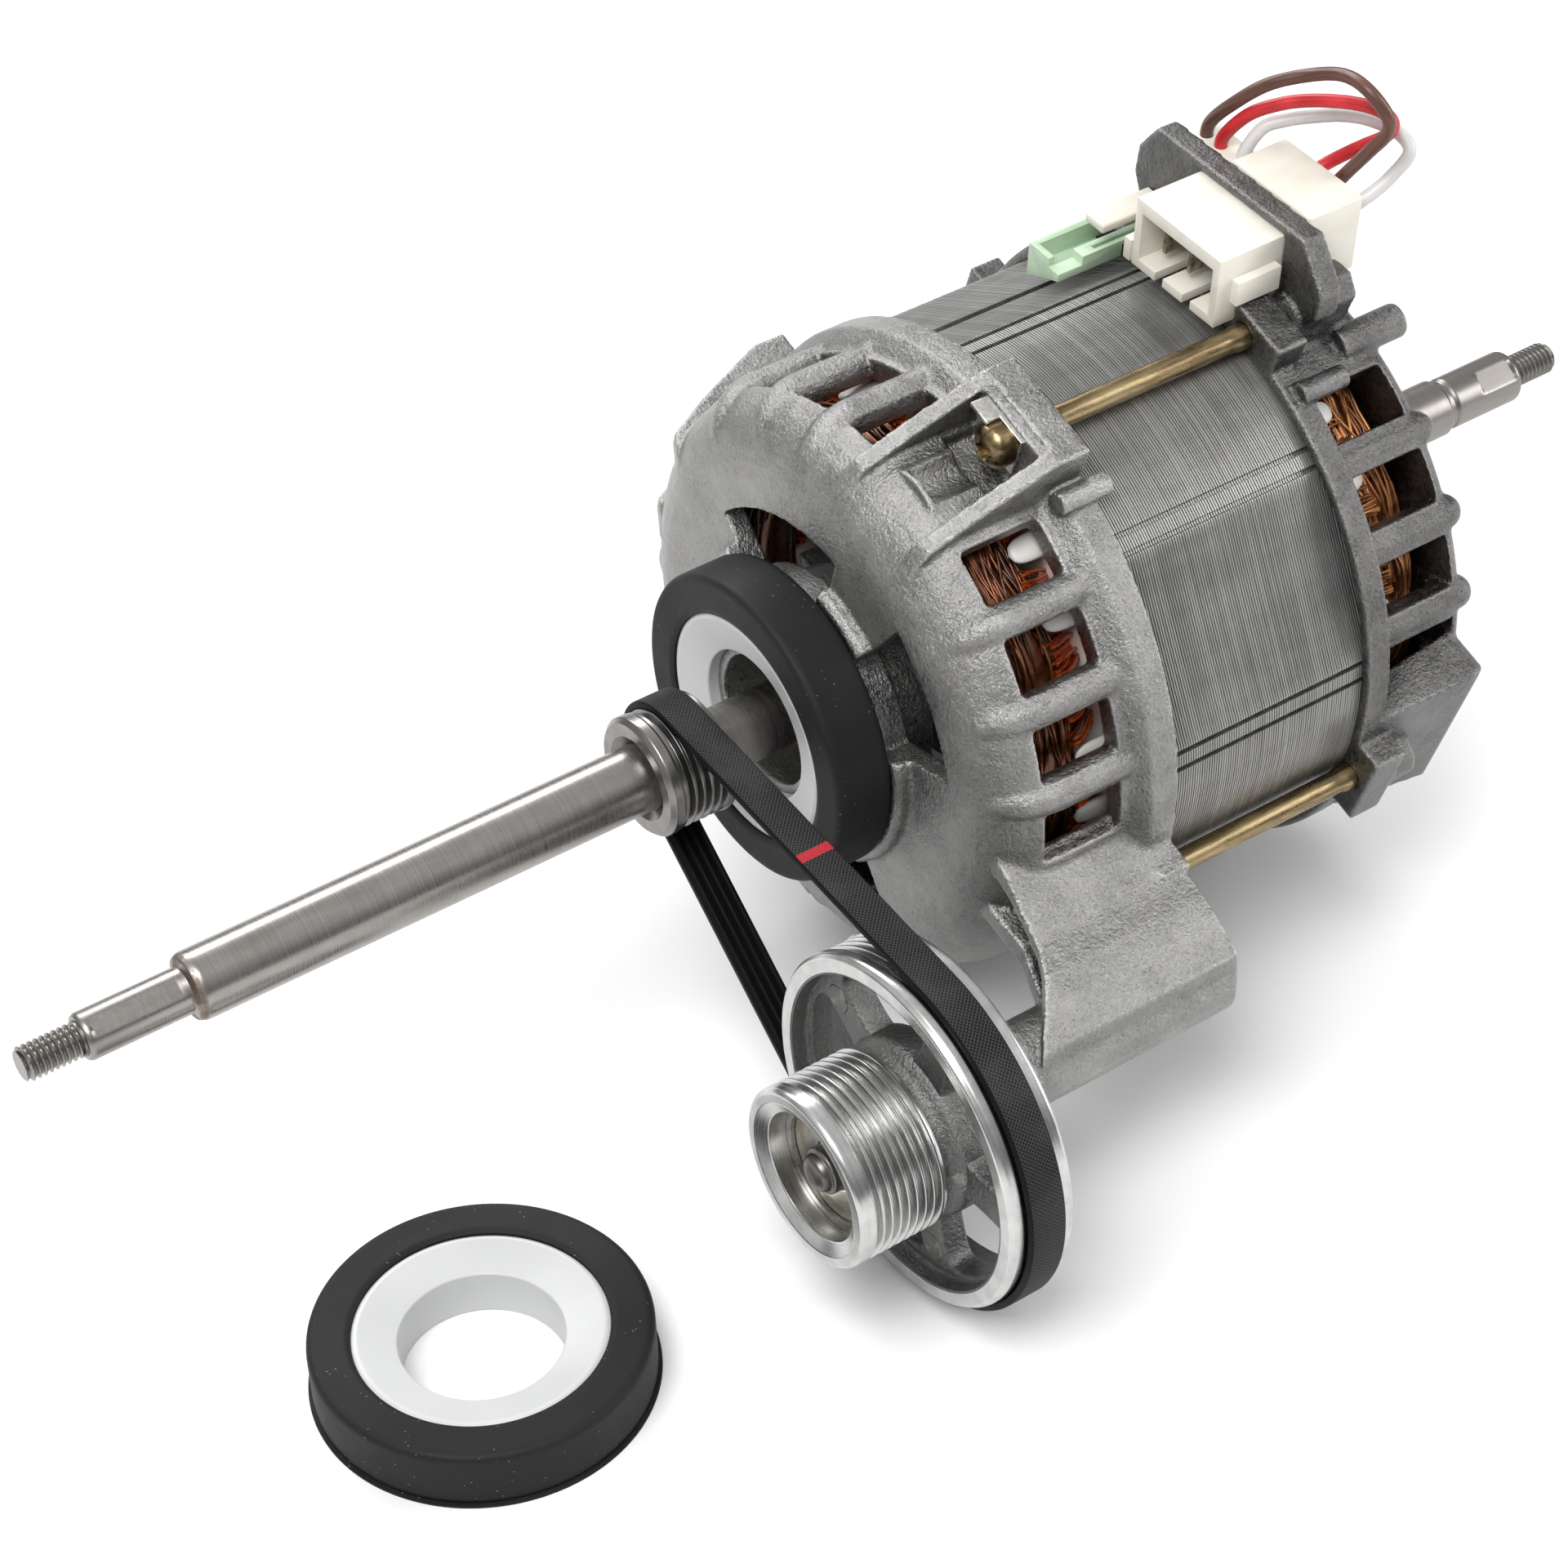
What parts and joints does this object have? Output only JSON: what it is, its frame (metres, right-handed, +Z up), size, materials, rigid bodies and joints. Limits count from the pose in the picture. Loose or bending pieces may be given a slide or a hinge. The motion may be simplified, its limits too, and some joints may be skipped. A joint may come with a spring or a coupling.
{
  "type": "dryer motor",
  "caption": "Dryer drive motor: laminated stator between two cast bells, shaft out at both ends, a belt-driven countershaft drum, rubber damping rings and a blade connector with leads.",
  "frame": {"origin": "on the motor axis, in the middle plane of the front damping ring", "axes": "+X along the motor axis from the belt end to the connector end, +Z up from the floor that the motor rests on, +Y completes the right-handed frame and points away from the countershaft"},
  "size_m": [0.311, 0.1579, 0.1493],
  "materials": {
    "shaft_steel": "ground",
    "rotor_iron": "stamped sheets, turned",
    "cage_aluminium": "die-cast",
    "pulley_steel": "turned",
    "drum_metal": "die-cast, turned rim and drum",
    "lamination": "stamped sheets, dull",
    "bright_casting": "die-cast, blasted",
    "grey_casting": "die-cast, dull grey",
    "copper_wire": "lacquered copper",
    "finger_plastic": "smooth",
    "bearing_steel": "polished",
    "rod_zinc": "yellow zinc",
    "clip_tin": "tinned",
    "black_rubber": "satin",
    "insert_plastic": "smooth milky white",
    "belt_rubber": "fabric back",
    "axle_steel": "dark",
    "cream_plastic": "satin",
    "blade_tin": "tinned",
    "brown_sleeve": "satin",
    "red_sleeve": "satin",
    "white_sleeve": "satin",
    "mint_plastic": "satin"
  },
  "bodies": {
    "housing": {"stator_stack": "lamination", "slot_coils": "copper_wire", "front_insulation": "finger_plastic", "rear_insulation": "finger_plastic", "front_winding": "copper_wire", "rear_winding": "copper_wire", "front_bell": "bright_casting", "rear_bell": "grey_casting", "front_bearing": "bearing_steel", "rear_bearing": "bearing_steel", "wave_washer": "bearing_steel", "tie_rods": "rod_zinc", "earth_clip": "clip_tin", "front_ring_rubber": "black_rubber", "front_ring_insert": "insert_plastic", "loose_ring_rubber": "black_rubber", "loose_ring_insert": "insert_plastic", "belt": "belt_rubber", "axle": "axle_steel", "socket": "cream_plastic", "blades": "blade_tin", "rear_block": "cream_plastic", "lead_outlet": "cream_plastic", "lead_brown": "brown_sleeve", "lead_red": "red_sleeve", "lead_white": "white_sleeve", "slot_cover": "mint_plastic", "cover_tab": "cream_plastic"},
    "rotor": {"shaft": "shaft_steel", "rotor_core": "rotor_iron", "rotor_cage": "cage_aluminium", "motor_pulley": "pulley_steel"},
    "countershaft": {"drum_pulley": "drum_metal", "pulley_bearing_front": "bearing_steel", "pulley_bearing_rear": "bearing_steel", "snap_ring": "bearing_steel"}
  },
  "joints": [
    {"name": "rotor_spin", "type": "hinge", "parent": "housing", "child": "rotor", "pos_m": [0, 0, 0], "axis": [1, 0, 0], "continuous": true},
    {"name": "drum_spin", "type": "hinge", "parent": "housing", "child": "countershaft", "pos_m": [0, -0.06575, -0.02983], "axis": [1, 0, 0], "continuous": true}
  ],
  "couplings": [
    {"joint": "drum_spin", "follows": "rotor_spin", "ratio": 0.358}
  ]
}
